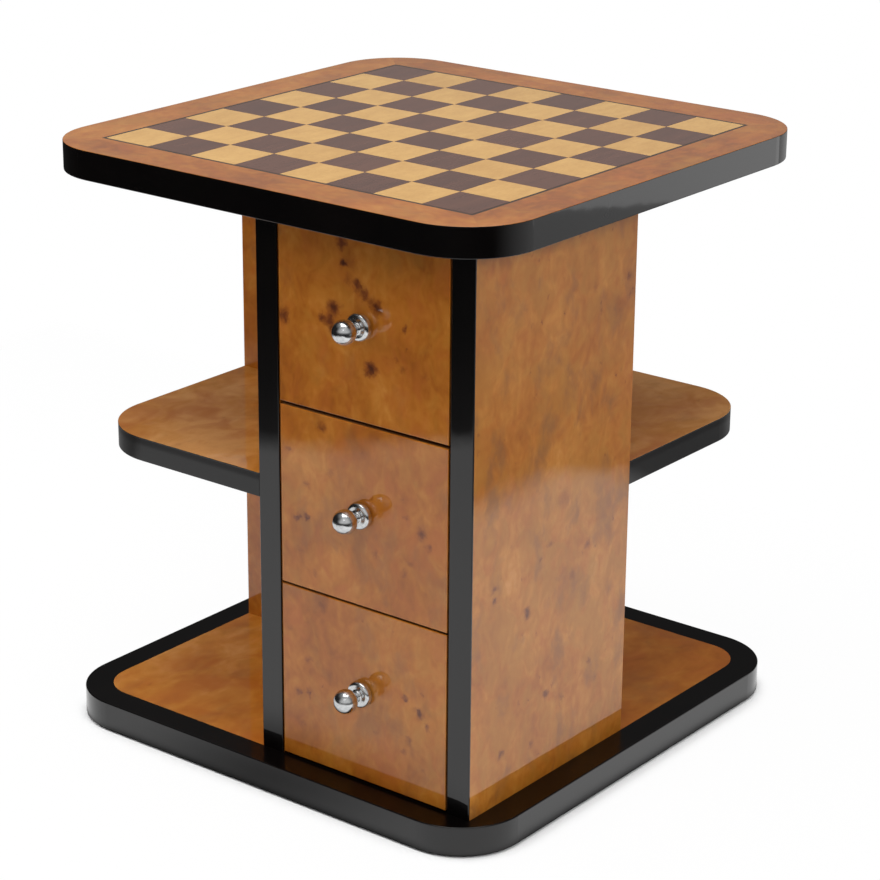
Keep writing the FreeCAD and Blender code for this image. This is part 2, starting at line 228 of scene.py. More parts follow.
def arithmetic(tree, operation, first, second=0.0):
    """One sum on sockets or numbers."""
    node = add_node(tree, "ShaderNodeMath", operation=operation)
    for index, term in enumerate((first, second)):
        if isinstance(term, bpy.types.NodeSocket):
            tree.links.new(term, node.inputs[index])
        else:
            node.inputs[index].default_value = term
    return node.outputs["Value"]


def product(tree, first, *others):
    """Sockets or numbers multiplied together."""
    total = first
    for value in others:
        total = arithmetic(tree, "MULTIPLY", total, value)
    return total


def tint(tree, factor, under, over):
    """Colour under turned into colour over by a factor."""
    mix = add_node(tree, "ShaderNodeMix", data_type="RGBA")
    tree.links.new(factor, mix.inputs["Factor"])
    for name, colour in (("A", under), ("B", over)):
        socket = next(s for s in mix.inputs if s.name == name and s.type == "RGBA")
        if isinstance(colour, bpy.types.NodeSocket):
            tree.links.new(colour, socket)
        else:
            socket.default_value = colour
    return next(s for s in mix.outputs if s.type == "RGBA")


def stretch(tree, place, scale):
    """Place stretched along the axes, for grain that runs one way."""
    node = add_node(tree, "ShaderNodeVectorMath", operation="MULTIPLY")
    node.inputs[1].default_value = scale
    tree.links.new(place, node.inputs[0])
    return node.outputs["Vector"]


def wander(tree, place, scale, amount):
    """Place pushed about by a noise, so that edges and lines in a pattern wander."""
    drift = noise(tree, place, scale, detail=2.0)
    centred = add_node(tree, "ShaderNodeVectorMath", operation="SUBTRACT")
    centred.inputs[1].default_value = (0.5, 0.5, 0.5)
    tree.links.new(drift.outputs["Color"], centred.inputs[0])
    push = add_node(tree, "ShaderNodeVectorMath", {"Scale": amount}, operation="SCALE")
    tree.links.new(centred.outputs["Vector"], push.inputs[0])
    moved = add_node(tree, "ShaderNodeVectorMath", operation="ADD")
    tree.links.new(place, moved.inputs[0])
    tree.links.new(push.outputs["Vector"], moved.inputs[1])
    return moved.outputs["Vector"]


def eye_group():
    """One burl eye: its depth at the centre, fading out a little past its radius."""
    group = bpy.data.node_groups.new("burl_eye", "ShaderNodeTree")
    for name, kind in (("Place", "Vector"), ("Centre", "Vector"), ("Radius", "Float"), ("Depth", "Float")):
        group.interface.new_socket(name, in_out="INPUT", socket_type="NodeSocket" + kind)
    group.interface.new_socket("Eye", in_out="OUTPUT", socket_type="NodeSocketFloat")
    given = add_node(group, "NodeGroupInput")
    away = add_node(group, "ShaderNodeVectorMath", operation="DISTANCE")
    group.links.new(given.outputs["Place"], away.inputs[0])
    group.links.new(given.outputs["Centre"], away.inputs[1])
    share = arithmetic(group, "DIVIDE", away.outputs["Value"], given.outputs["Radius"])
    inside = soft_step(group, share, EYE_FADE, 0.0)
    result = add_node(group, "NodeGroupOutput")
    group.links.new(product(group, inside, given.outputs["Depth"]), result.inputs["Eye"])
    return group


def channel(tree, colour, name):
    """One channel of a colour; a noise's green and a cell's red are values of their own."""
    parts = join(tree, add_node(tree, "ShaderNodeSeparateColor"), (colour, "Color"))
    return parts.outputs[name]


def weighed(tree, start, *shares):
    """Start value plus shares of other values."""
    total = start
    for value, share in shares:
        total = arithmetic(tree, "ADD", total, product(tree, value, share))
    return total


def burl_group():
    """Burl figure drawn out a little along Z: colour from a place, the leaf's own amounts and the eyes."""
    group = bpy.data.node_groups.new("burl_figure", "ShaderNodeTree")
    group.interface.new_socket("Place", in_out="INPUT", socket_type="NodeSocketVector")
    for name in ("Tone", "Redness", "Smoke", "Specks", "Eyes"):
        group.interface.new_socket(name, in_out="INPUT", socket_type="NodeSocketFloat")
    group.interface.new_socket("Color", in_out="OUTPUT", socket_type="NodeSocketColor")
    group.interface.new_socket("Grain", in_out="OUTPUT", socket_type="NodeSocketFloat")
    given = add_node(group, "NodeGroupInput")
    place = wander(group, given.outputs["Place"], CURLS_PER_METRE, CURL_REACH)
    drawn_out = stretch(group, place, (1, 1, 0.75))
    clouds = noise(group, drawn_out, CLOUDS_PER_METRE, detail=4.0, roughness=0.55)
    mottle = noise(group, drawn_out, MOTTLE_PER_METRE, detail=2.5, distortion=0.8)
    dabs = noise(group, stretch(group, place, (1, 1, 0.65)), DABS_PER_METRE, detail=1.5)
    pores = noise(group, stretch(group, given.outputs["Place"], (1, 1, 0.4)), PORES_PER_METRE, detail=2.0)
    tone = weighed(
        group, given.outputs["Tone"],
        (clouds.outputs["Fac"], 0.5), (mottle.outputs["Fac"], 0.32), (dabs.outputs["Fac"], 0.18),
    )
    ground = [
        (0.36, BURL_DARK), (0.46, BURL_AMBER), (0.55, BURL_GOLD), (0.68, BURL_PALE), (0.84, BURL_CREAM),
    ]
    colour = colour_steps(group, tone, ground)
    wide_hue = channel(group, clouds.outputs["Color"], "Green")
    fine_hue = channel(group, mottle.outputs["Color"], "Green")
    hue = weighed(group, given.outputs["Redness"], (wide_hue, 0.5), (fine_hue, 0.5))
    colour = tint(group, soft_step(group, hue, 0.48, 0.68, 0.0, 0.6), colour, BURL_RED)
    colour = tint(group, soft_step(group, hue, 0.50, 0.32, 0.0, 0.55), colour, BURL_OLIVE)
    drifts = noise(group, stretch(group, place, (1, 1, 0.6)), DRIFTS_PER_METRE, detail=4.0, roughness=0.6)
    drift = soft_step(group, drifts.outputs["Fac"], 0.5, 0.72)
    colour = tint(group, product(group, drift, given.outputs["Smoke"]), colour, SMOKE)
    ragged_place = wander(group, given.outputs["Place"], SPECK_RAGS_PER_METRE, SPECK_RAG_REACH)
    cells = add_node(group, "ShaderNodeTexVoronoi", {"Scale": SPECKS_PER_METRE, "Randomness": 1.0})
    join(group, cells, (stretch(group, ragged_place, (1, 1, 0.6)), "Vector"))
    chosen = soft_step(group, channel(group, cells.outputs["Color"], "Red"), 0.66, 0.9)
    round_spot = soft_step(group, cells.outputs["Distance"], 0.2, 0.0)
    herds = noise(group, place, SPECK_HERDS_PER_METRE, detail=2.0)
    herd = soft_step(group, herds.outputs["Fac"], 0.42, 0.6)
    speck = product(group, chosen, round_spot, herd, given.outputs["Specks"])
    colour = tint(group, speck, colour, EYE_HALO)
    pore = soft_step(group, pores.outputs["Fac"], 0.6, 0.75, 0.0, 0.22)
    colour = tint(group, pore, colour, BURL_DARK)
    ragged = soft_step(group, mottle.outputs["Fac"], 0.3, 0.7, 0.8, 1.2)
    eyes = product(group, given.outputs["Eyes"], ragged)
    colour = tint(group, soft_step(group, eyes, 0.0, 0.75, 0.0, 0.9), colour, EYE_HALO)
    colour = tint(group, soft_step(group, eyes, 0.5, 1.05), colour, EYE_CORE)
    result = add_node(group, "NodeGroupOutput")
    group.links.new(colour, result.inputs["Color"])
    group.links.new(dabs.outputs["Fac"], result.inputs["Grain"])
    return group


burl_eye = eye_group()
burl_figure = burl_group()
GRAIN_UP = (0, 0, 0)
GRAIN_ALONG_X = (0, math.radians(90), 0)
GRAIN_ALONG_Y = (math.radians(90), 0, 0)


def burl_veneer(name, shift, grain, size=1.0, tone=0.0, redness=0.0, smoke=0.5, specks=0.6, eyes=()):
    """Burl under gloss lacquer for one piece.

    Shift picks the piece's own leaf of veneer, and each eye is (centre, radius, depth).
    """
    material, tree, shader = new_finish(name, roughness=VENEER_ROUGHNESS, **GLOSS_LACQUER)
    polish_waves(tree, shader, BURL_WAVES_PER_METRE, BURL_WAVE_DEPTH)
    amounts = {"Tone": tone, "Redness": redness, "Smoke": smoke, "Specks": specks}
    figure = add_node(tree, "ShaderNodeGroup", amounts, node_tree=burl_figure)
    place = object_place(tree, scale=[1 / size] * 3, location=shift, rotation=grain)
    tree.links.new(place, figure.inputs["Place"])
    bent_place = wander(tree, object_place(tree), EYE_BENDS_PER_METRE, EYE_BEND_REACH)
    eye_place = wander(tree, bent_place, EYE_RAGS_PER_METRE, EYE_RAG_REACH)
    deepest = None
    for centre, radius, depth in eyes:
        shape = {"Centre": centre, "Radius": radius, "Depth": depth}
        eye = add_node(tree, "ShaderNodeGroup", shape, node_tree=burl_eye)
        join(tree, eye, (eye_place, "Place"))
        found = eye.outputs["Eye"]
        deepest = found if deepest is None else arithmetic(tree, "MAXIMUM", deepest, found)
    if deepest is not None:
        tree.links.new(deepest, figure.inputs["Eyes"])
    tree.links.new(figure.outputs["Color"], shader.inputs["Base Color"])
    bump(tree, shader, figure.outputs["Grain"], VENEER_GRAIN_DEPTH)
    return material


def blackened(material, share):
    """Black lacquer over part of a veneered piece."""
    tree = material.node_tree
    colour = surface_of(material).inputs["Base Color"]
    tree.links.new(tint(tree, share, colour.links[0].from_socket, LACQUER_WORN), colour)


def figure_of(material):
    """Node that draws a burl veneer's figure."""
    return next(node for node in material.node_tree.nodes if node.bl_idname == "ShaderNodeGroup")


# Painted shade: the right half of the base field is toned darker than the left, standing in for weaker light
# on the right-hand quarter.
LEFT_HALF_LIT_TONE = 0.175
RIGHT_HALF_SHADED_TONE = 0.03
HALVES_BLEND = 0.05
base_field = burl_veneer(
    "base_field_burl", (1.3, 0.4, 0.2), GRAIN_ALONG_Y, size=1.7, redness=0.03, smoke=0.4, specks=0.35
)
tree = base_field.node_tree
spot = axes(tree)
painted_shade_by_half = soft_step(tree, spot["X"], -HALVES_BLEND, HALVES_BLEND, LEFT_HALF_LIT_TONE, RIGHT_HALF_SHADED_TONE)
tree.links.new(painted_shade_by_half, figure_of(base_field).inputs["Tone"])
blackened(base_field, arithmetic(tree, "LESS_THAN", product(tree, spot["X"], spot["Y"]), 0.0))
put_on(base_field, "base_burl_field")

# Screws and dowels of the carcass
# Countersunk zinc-plated screws pull the panels down on the base, and beech dowels line them up.
# Only the screw heads show, from below; the dowels stay inside the joints.
ZINC_DARK = (0.32, 0.33, 0.35, 1)
ZINC_LIGHT = (0.60, 0.61, 0.62, 1)
ZINC_BLOOM_PER_METRE = 700

zinc, tree, shader = new_finish("zinc_plated_steel", metallic=1.0, roughness=0.32)
bloom = noise(tree, object_place(tree), ZINC_BLOOM_PER_METRE)
zinc_colour = colour_steps(tree, bloom.outputs["Fac"], [(0.35, ZINC_DARK), (0.65, ZINC_LIGHT)])
tree.links.new(zinc_colour, shader.inputs["Base Color"])
put_on(zinc, "base_screws")

BEECH_DARK = (0.36, 0.20, 0.095, 1)
BEECH_LIGHT = (0.53, 0.335, 0.175, 1)
BEECH_FLECK = (0.27, 0.135, 0.06, 1)
BEECH = (BEECH_DARK, BEECH_LIGHT, BEECH_FLECK)
ALONG_GRAIN = 0.06
RINGS_PER_METRE = 70
FLECKS_PER_METRE = 520
FLECK_STRENGTH = 0.6
RING_DEPTH = 0.00004
GRAIN_BENDS_PER_METRE = 6
GRAIN_BEND_REACH = 0.01


def straight_wood(name, stretch_scale, dark, light, fleck, roughness):
    """Straight-grained sealed wood; stretch_scale is small along the grain."""
    material, tree, shader = new_finish(name, roughness=roughness)
    drawn_out = object_place(tree, scale=stretch_scale)
    place = wander(tree, drawn_out, GRAIN_BENDS_PER_METRE, GRAIN_BEND_REACH)
    rings = noise(tree, place, RINGS_PER_METRE, detail=4.0, roughness=0.6)
    flecks = noise(tree, place, FLECKS_PER_METRE, detail=2.0)
    colour = colour_steps(tree, rings.outputs["Fac"], [(0.35, dark), (0.65, light)])
    fleck_share = product(tree, soft_step(tree, flecks.outputs["Fac"], 0.6, 0.7), FLECK_STRENGTH)
    tree.links.new(tint(tree, fleck_share, colour, fleck), shader.inputs["Base Color"])
    bump(tree, shader, rings.outputs["Fac"], RING_DEPTH)
    return material


beech_upright = straight_wood("beech_upright", (1, 1, ALONG_GRAIN), *BEECH, roughness=0.5)
put_on(beech_upright, "carcass_dowels")

# Upright panels
# Three burl-veneered boards stand on the base: a partition in the middle and a side panel on each tower.
# Two thinner backs close the towers, and the panels' outer ends carry black edging.
MM = 0.001


def spots(fixed_axis, face, places):
    """Burl eyes on a flat face, from (across, up, radius, depth) in millimetres."""
    found = []
    for across, up, radius, depth in places:
        centre = (face, across * MM, up * MM) if fixed_axis == "x" else (across * MM, face, up * MM)
        found.append((centre, radius * MM, depth))
    return found


right_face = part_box("right_side_panel")[1].x
RIGHT_PANEL_EYES = [
    (-5, 557, 7, 0.6), (-20, 531, 14, 0.4), (-64, 559, 5, 0.5), (-110, 343, 13, 0.45), (-132, 300, 6, 0.6),
    (-66, 278, 7, 0.65), (-227, 281, 6, 0.7), (-228, 265, 5, 0.9), (-172, 235, 7, 0.9), (-93, 254, 7, 0.5),
    (-58, 143, 5, 0.55), (-135, 131, 6, 0.6), (-106, 118, 5, 0.6), (-211, 90, 6, 0.75), (-160, 82, 5, 0.6),
]
put_on(
    burl_veneer(
        "right_panel_burl", (0.2, 0.9, 0.35), GRAIN_UP, tone=0.06, redness=-0.08, smoke=0.65, specks=0.8,
        eyes=spots("x", right_face, RIGHT_PANEL_EYES),
    ),
    "right_side_panel",
)
put_on(burl_veneer("left_panel_burl", (2.6, 0.1, 1.7), GRAIN_UP, smoke=0.75, specks=0.8), "left_side_panel")
put_on(burl_veneer("partition_burl", (0.7, 3.1, 0.9), GRAIN_UP), "central_partition")
put_on(burl_veneer("front_back_burl", (4.2, 0.8, 0.3), GRAIN_UP), "front_tower_back")
put_on(burl_veneer("rear_back_burl", (1.9, 5.3, 2.2), GRAIN_UP), "rear_tower_back")

# Quarter shelves
# Two burl-veneered boards hang half way up in the open corners, dowelled to the panels.
# Their free sides follow the round corner and carry black edging; the veneer's thin edge is blacked too.
SHELF_LEAVES = {"left_shelf": (3.4, 1.1, 0.6), "right_shelf": (0.3, 6.2, 1.4)}
SHELF_EDGE_SHINE = 0.75
SHELF_DARK_LINE_SHINE = 0.4
SHELF_DARK_LINE_FROM = 0.0105
SHELF_DARK_LINE_TO = 0.0055
VENEER_DEPTH = 0.0015
VENEER_ARRIS = 0.0001


def blackened_edge(material, face_level):
    """Black lacquer on the thin edge of a veneer that lies face up, just below its face."""
    tree = material.node_tree
    depth = arithmetic(tree, "SUBTRACT", face_level, axes(tree)["Z"])
    below_face = soft_step(tree, depth, VENEER_ARRIS, 3 * VENEER_ARRIS)
    in_veneer = arithmetic(tree, "LESS_THAN", depth, VENEER_DEPTH + VENEER_ARRIS)
    blackened(material, product(tree, below_face, in_veneer))


for node, shift in SHELF_LEAVES.items():
    shelf_burl = burl_veneer(
        node + "_burl", shift, GRAIN_ALONG_Y, size=1.7, tone=0.27, redness=0.04, smoke=0.45, specks=0.4
    )
    blackened_edge(shelf_burl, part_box(node)[1].z)
    put_on(shelf_burl, node)
shelf_lacquer = polished_lacquer("shelf_edge_lacquer")
shelf_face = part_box("left_shelf")[1].z
# Painted reflection: the coat is weaker along the top of the shelf edging, so a dark line shows there that
# stands in for a rounded arris mirroring the dark room.
dark_line_levels = (shelf_face - SHELF_DARK_LINE_FROM, shelf_face - SHELF_DARK_LINE_TO)
shine_by_height(shelf_lacquer, *dark_line_levels, SHELF_EDGE_SHINE, SHELF_DARK_LINE_SHINE)
put_on(shelf_lacquer, "shelf_edging")
beech_deep = straight_wood("beech_along_drawer", (1, ALONG_GRAIN, 1), *BEECH, roughness=0.45)
put_on(beech_deep, "shelf_dowels")

# Runners and stops
# Planed beech strips glued to the tower walls carry the drawers, and small blocks stop them flush.
# The wood is waxed, and nothing shows until a drawer is pulled.
put_on(beech_deep, "drawer_runners", "drawer_stops")

# Top board
# A thick wood core under the veneers, stained dark below, with a black edging round it.
# The underside shows only from low down.
STAIN_DARK = (0.010, 0.008, 0.007, 1)
STAIN_LIGHT = (0.022, 0.018, 0.015, 1)

stained_core = straight_wood("stained_core", (1, 0.05, 1), STAIN_DARK, STAIN_LIGHT, STAIN_DARK, 0.5)
put_on(stained_core, "top_core")

# Border of the board
# Four lengths of burl round the squares, mitred at the corners, with the outer arris eased.
# The grain runs along each length, so that neighbours meet at the mitre in another tone.
SIDE_LENGTH_SHIFT = (2.7, 7.2, 1.9)
DARKER_TO_THE_RIGHT = -0.09

border_burl = burl_veneer("border_burl", (5.1, 2.4, 0.8), GRAIN_ALONG_X, smoke=0.35, specks=0.35)
tree = border_burl.node_tree
figure = figure_of(border_burl)
across = axes(tree)
reach_x = arithmetic(tree, "ABSOLUTE", across["X"])
reach_y = arithmetic(tree, "ABSOLUTE", across["Y"])
on_side = arithmetic(tree, "GREATER_THAN", reach_x, reach_y)
leaf = add_node(tree, "ShaderNodeMix", data_type="VECTOR")
tree.links.new(on_side, leaf.inputs["Factor"])
front_leaf, side_leaf = (s for s in leaf.inputs if s.type == "VECTOR" and s.name in ("A", "B"))
tree.links.new(figure.inputs["Place"].links[0].from_socket, front_leaf)
tree.links.new(object_place(tree, location=SIDE_LENGTH_SHIFT, rotation=GRAIN_ALONG_Y), side_leaf)
tree.links.new(next(s for s in leaf.outputs if s.type == "VECTOR"), figure.inputs["Place"])
tree.links.new(product(tree, across["X"], DARKER_TO_THE_RIGHT, on_side), figure.inputs["Tone"])
blackened_edge(border_burl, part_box("top_border")[1].z)
put_on(border_burl, "top_border")

# Stringing
# A thin dark line of dyed veneer between the border and the squares, mitred at its corners.
# It is glued down with them and shines less.
STRING_DARK = (0.020, 0.010, 0.006, 1)
STRING_LIGHT = (0.045, 0.022, 0.012, 1)
STRING_SHINE = 0.35

string_wood = straight_wood("dyed_stringing", (1, 1, 1), STRING_DARK, STRING_LIGHT, STRING_DARK, 0.4)
surface_of(string_wood).inputs["Coat Weight"].default_value = STRING_SHINE
surface_of(string_wood).inputs["Coat IOR"].default_value = GLOSS_LACQUER["coat_ior"]
put_on(string_wood, "top_stringing")

# Squares of the board
# Sixty-four squares of straight-grained veneer, light and dark by turns, cut and taped up edge to edge.
# Each is its own piece of veneer, so tone and grain change from square to square.
LIGHT_SHADE = (0.53, 0.285, 0.075, 1)
LIGHT_GLOW = (0.66, 0.385, 0.115, 1)
DARK_SHADE = (0.078, 0.026, 0.013, 1)
DARK_GLOW = (0.118, 0.042, 0.022, 1)
SQUARES_PER_SIDE = 8
GLUE_LINE = 0.00012
ARRIS = 0.0001
TONE_SEED = 11
TONE_JUMP = 9.0
BANDS_PER_METRE = 60
LINES_PER_METRE = 420
LINE_BENDS_PER_METRE = 9
LINE_BEND_REACH = 0.006


def squares_tree():
    """Geometry nodes: every second cell of a grid gets a thin square with an eased arris and a tone."""
    tree = bpy.data.node_groups.new("board_squares", "GeometryNodeTree")
    inputs = [
        ("Side", "Float"), ("Count", "Int"), ("Thickness", "Float"), ("Level", "Float"),
        ("Glue Line", "Float"), ("Arris", "Float"), ("Parity", "Int"), ("Seed", "Int"),
        ("Veneer", "Material"),
    ]
    for name, kind in inputs:
        tree.interface.new_socket(name, in_out="INPUT", socket_type="NodeSocket" + kind)
    tree.interface.new_socket("Geometry", in_out="OUTPUT", socket_type="NodeSocketGeometry")
    given = add_node(tree, "NodeGroupInput").outputs
    gaps = arithmetic(tree, "SUBTRACT", given["Count"], 1)
    span = arithmetic(tree, "MULTIPLY", gaps, given["Side"])
    grid = join(
        tree, add_node(tree, "GeometryNodeMeshGrid"),
        (span, "Size X"), (span, "Size Y"), (given["Count"], "Vertices X"), (given["Count"], "Vertices Y"),
    )
    index = add_node(tree, "GeometryNodeInputIndex").outputs["Index"]
    column = arithmetic(tree, "FLOOR", arithmetic(tree, "DIVIDE", index, given["Count"]))
    row = arithmetic(tree, "MODULO", index, given["Count"])
    odd = arithmetic(tree, "MODULO", arithmetic(tree, "ADD", column, row), 2)
    chosen = arithmetic(tree, "COMPARE", odd, given["Parity"])
    width = arithmetic(tree, "SUBTRACT", given["Side"], given["Glue Line"])
    body_height = arithmetic(tree, "SUBTRACT", given["Thickness"], given["Arris"])
    size = join(
        tree, add_node(tree, "ShaderNodeCombineXYZ"), (width, "X"), (width, "Y"), (body_height, "Z")
    )
    cube = join(tree, add_node(tree, "GeometryNodeMeshCube"), (size.outputs["Vector"], "Size"))
    normal = add_node(tree, "GeometryNodeInputNormal")
    tilt = join(tree, add_node(tree, "ShaderNodeSeparateXYZ"), (normal.outputs["Normal"], "Vector"))
    upward = arithmetic(tree, "GREATER_THAN", tilt.outputs["Z"], 0.5)
    raised = join(
        tree, add_node(tree, "GeometryNodeExtrudeMesh", mode="FACES"),
        (cube.outputs["Mesh"], "Mesh"), (upward, "Selection"), (given["Arris"], "Offset Scale"),
    )
    narrow = arithmetic(tree, "DIVIDE", given["Arris"], width)
    share = arithmetic(tree, "SUBTRACT", 1.0, product(tree, narrow, 2.0))
    eased = join(
        tree, add_node(tree, "GeometryNodeScaleElements", domain="FACE"),
        (raised.outputs["Mesh"], "Geometry"), (raised.outputs["Top"], "Selection"), (share, "Scale"),
    )
    placed = join(
        tree, add_node(tree, "GeometryNodeInstanceOnPoints"),
        (grid.outputs["Mesh"], "Points"), (chosen, "Selection"), (eased.outputs["Geometry"], "Instance"),
    )
    lift = arithmetic(tree, "ADD", given["Level"], product(tree, body_height, 0.5))
    offset = join(tree, add_node(tree, "ShaderNodeCombineXYZ"), (lift, "Z"))
    seated = join(
        tree, add_node(tree, "GeometryNodeTranslateInstances"),
        (placed.outputs["Instances"], "Instances"), (offset.outputs["Vector"], "Translation"),
    )
    tone = join(tree, add_node(tree, "FunctionNodeRandomValue", data_type="FLOAT"), (given["Seed"], "Seed"))
    tone_value = next(s for s in tone.outputs if s.type == "VALUE" and s.enabled)
    toned = add_node(
        tree, "GeometryNodeStoreNamedAttribute", {"Name": "tone"}, data_type="FLOAT", domain="INSTANCE"
    )
    join(tree, toned, (seated.outputs["Instances"], "Geometry"), (tone_value, "Value"))
    whole = add_node(tree, "GeometryNodeRealizeInstances")
    join(tree, whole, (toned.outputs["Geometry"], "Geometry"))
    veneered = join(
        tree, add_node(tree, "GeometryNodeSetMaterial"),
        (whole.outputs["Geometry"], "Geometry"), (given["Veneer"], "Material"),
    )
    tree.links.new(veneered.outputs["Geometry"], add_node(tree, "NodeGroupOutput").inputs["Geometry"])
    return tree


def grown_from(tree, name, values):
    """Plain mesh object grown by a geometry nodes tree with these input values."""
    holder = bpy.data.objects.new(name + "_holder", bpy.data.meshes.new(name + "_holder"))
    bpy.context.scene.collection.objects.link(holder)
    modifier = holder.modifiers.new("nodes", "NODES")
    modifier.node_group = tree
    for socket in tree.interface.items_tree:
        if socket.in_out == "INPUT":
            modifier[socket.identifier] = values[socket.name]
    evaluated = holder.evaluated_get(bpy.context.evaluated_depsgraph_get())
    mesh = bpy.data.meshes.new_from_object(evaluated)
    holder.modifiers.remove(modifier)
    bpy.data.objects.remove(holder)
    piece = bpy.data.objects.new(name, mesh)
    bpy.context.scene.collection.objects.link(piece)
    return piece


def inlay_veneer(name, shade, glow, along_grain):
    """Veneer under gloss lacquer; each square's tone moves its figure and its colour."""
    material, tree, shader = new_finish(name, roughness=VENEER_ROUGHNESS, **GLOSS_LACQUER)
    tone = add_node(tree, "ShaderNodeAttribute", attribute_name="tone").outputs["Fac"]
    jump = join(tree, add_node(tree, "ShaderNodeCombineXYZ"), (product(tree, tone, TONE_JUMP), "X"))
    moved = add_node(tree, "ShaderNodeVectorMath", operation="ADD")
    tree.links.new(object_place(tree, scale=(1, along_grain, 1)), moved.inputs[0])
    tree.links.new(jump.outputs["Vector"], moved.inputs[1])
    place = wander(tree, moved.outputs["Vector"], LINE_BENDS_PER_METRE, LINE_BEND_REACH)
    bands = noise(tree, place, BANDS_PER_METRE, detail=4.0, roughness=0.6)
    lines = noise(tree, place, LINES_PER_METRE, roughness=0.65)
    grain = weighed(tree, 0.0, (bands.outputs["Fac"], 0.5), (lines.outputs["Fac"], 0.35), (tone, 0.15))
    colour = colour_steps(tree, grain, [(0.36, shade), (0.64, glow)])
    tree.links.new(colour, shader.inputs["Base Color"])
    bump(tree, shader, lines.outputs["Fac"], VENEER_GRAIN_DEPTH)
    return material


board_low, board_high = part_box("light_squares")
square_side = (board_high.x - board_low.x) / SQUARES_PER_SIDE
squares = squares_tree()
INLAYS = {
    "light": (0, LIGHT_SHADE, LIGHT_GLOW, 0.45),
    "dark": (1, DARK_SHADE, DARK_GLOW, 0.15),
}
for wood, (parity, shade, glow, along_grain) in INLAYS.items():
    veneer = inlay_veneer(wood + "_inlay_veneer", shade, glow, along_grain)
    piece = grown_from(squares, wood + "_inlay_squares", {
        "Side": square_side, "Count": SQUARES_PER_SIDE, "Thickness": board_high.z - board_low.z,
        "Level": board_low.z, "Glue Line": GLUE_LINE, "Arris": ARRIS, "Parity": parity,
        "Seed": TONE_SEED + parity, "Veneer": veneer,
    })
    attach(piece, "carcass")
    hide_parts(wood + "_squares")

# Drawer fronts
# Burl-veneered boards with eased arrises, three to a tower, set flush between the black edgings.
# The two lower fronts are neighbouring leaves of one veneer, so their specks repeat.
# The top one is full of eyes.
TOP_EYES = [
    (-26, 83, 7, 0.85), (-23, 63, 6, 0.9), (-16, 66, 12, 0.4), (-18, 47, 8, 0.45), (-5, 43, 8, 0.75),
    (3, 36, 8, 0.7), (12, 31, 7, 0.55), (19, 25, 8, 0.85), (-36, 13, 10, 0.85), (-42, 1, 9, 0.95),
    (-51, 2, 7, 0.9), (-39, -6, 8, 0.8), (-103, -6, 9, 0.8), (10, -40, 9, 1.0), (54, 11, 4, 0.7),
    (55, -10, 3, 0.5), (45, -23, 4, 0.45), (52, -33, 5, 0.4), (79, -35, 5, 0.35),
]
LOWER_EYES = [
    (-54, 86, 7, 0.6), (-100, 49, 5, 0.5), (-74, 19, 5, 0.55), (-88, -22, 6, 0.75), (-75, -19, 5, 0.75),
    (57, 13, 4, 0.6), (76, 0, 7, 0.85), (86, -12, 4, 0.6), (18, -36, 5, 0.45), (62, -34, 5, 0.55),
    (55, -48, 5, 0.5), (-42, 38, 6, 0.35), (-84, -57, 6, 0.4), (-63, -79, 5, 0.35), (82, -62, 4, 0.35),
]
FRONT_LEAVES = {"bottom": (7.1, 0.6, 0.2), "middle": (7.1, 0.6, 0.0), "top": (2.2, 8.4, 1.5)}
LEAF_SMOKE = {"bottom": 0.45, "middle": 0.45, "top": 0.3}
LEAF_SPECKS = {"bottom": 0.8, "middle": 0.8, "top": 0.25}
EDGE_DARK = (0.13, 0.052, 0.016, 1)
EDGE_LIGHT = (0.22, 0.098, 0.034, 1)
EDGE_SHINE = 0.2
EDGE_BLEND = 0.0002


def veneered_outside(material, face):
    """Keep the burl to the outer face of a drawer front; behind it the board is stained and sealed."""
    tree = material.node_tree
    shader = surface_of(material)
    depth = arithmetic(tree, "ABSOLUTE", arithmetic(tree, "SUBTRACT", axes(tree)["Y"], face))
    along_front = object_place(tree, scale=(ALONG_GRAIN, 1, 1))
    rings = noise(tree, along_front, RINGS_PER_METRE, detail=4.0, roughness=0.6)
    stained = colour_steps(tree, rings.outputs["Fac"], [(0.35, EDGE_DARK), (0.65, EDGE_LIGHT)])
    back_of_veneer = (VENEER_DEPTH, VENEER_DEPTH + EDGE_BLEND)
    burl = shader.inputs["Base Color"].links[0].from_socket
    behind = soft_step(tree, depth, *back_of_veneer)
    tree.links.new(tint(tree, behind, burl, stained), shader.inputs["Base Color"])
    shine = soft_step(tree, depth, *back_of_veneer, POLISHED_SHINE, EDGE_SHINE)
    tree.links.new(shine, shader.inputs["Coat Weight"])


for tower, side, turn in (("front", 0, 1), ("rear", 1, -1)):
    for level, shift in FRONT_LEAVES.items():
        node = f"{tower}_{level}_drawer_front"
        low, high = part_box(node)
        middle = (low + high) / 2
        face = low.y if tower == "front" else high.y
        leaf_eyes = TOP_EYES if level == "top" else LOWER_EYES
        places = [
            (middle.x / MM + turn * across, middle.z / MM + up, radius, depth)
            for across, up, radius, depth in leaf_eyes
        ]
        leaf = (shift[0] + side, shift[1], shift[2] - (0 if level == "top" else middle.z))
        finish = burl_veneer(
            node + "_burl", leaf, GRAIN_UP, tone=0.02, smoke=LEAF_SMOKE[level], specks=LEAF_SPECKS[level],
            eyes=spots("y", face, places),
        )
        veneered_outside(finish, face)
        put_on(finish, node)

# Drawer boxes
# Beech sides and back with a thin plywood bottom let into grooves, sanded and clear sealed.
# They show only when a drawer is open.
PLY_DARK = (0.44, 0.29, 0.155, 1)
PLY_LIGHT = (0.60, 0.43, 0.255, 1)
PLY_FLECK = (0.36, 0.22, 0.11, 1)

beech_across = straight_wood("beech_across_drawer", (ALONG_GRAIN, 1, 1), *BEECH, roughness=0.45)
plywood = straight_wood("drawer_plywood", (1, 0.1, 1), PLY_DARK, PLY_LIGHT, PLY_FLECK, 0.5)
for tower in ("front", "rear"):
    for level in FRONT_LEAVES:
        put_on(beech_deep, f"{tower}_{level}_drawer_sides")
        put_on(beech_across, f"{tower}_{level}_drawer_back")
        put_on(plywood, f"{tower}_{level}_drawer_bottom")

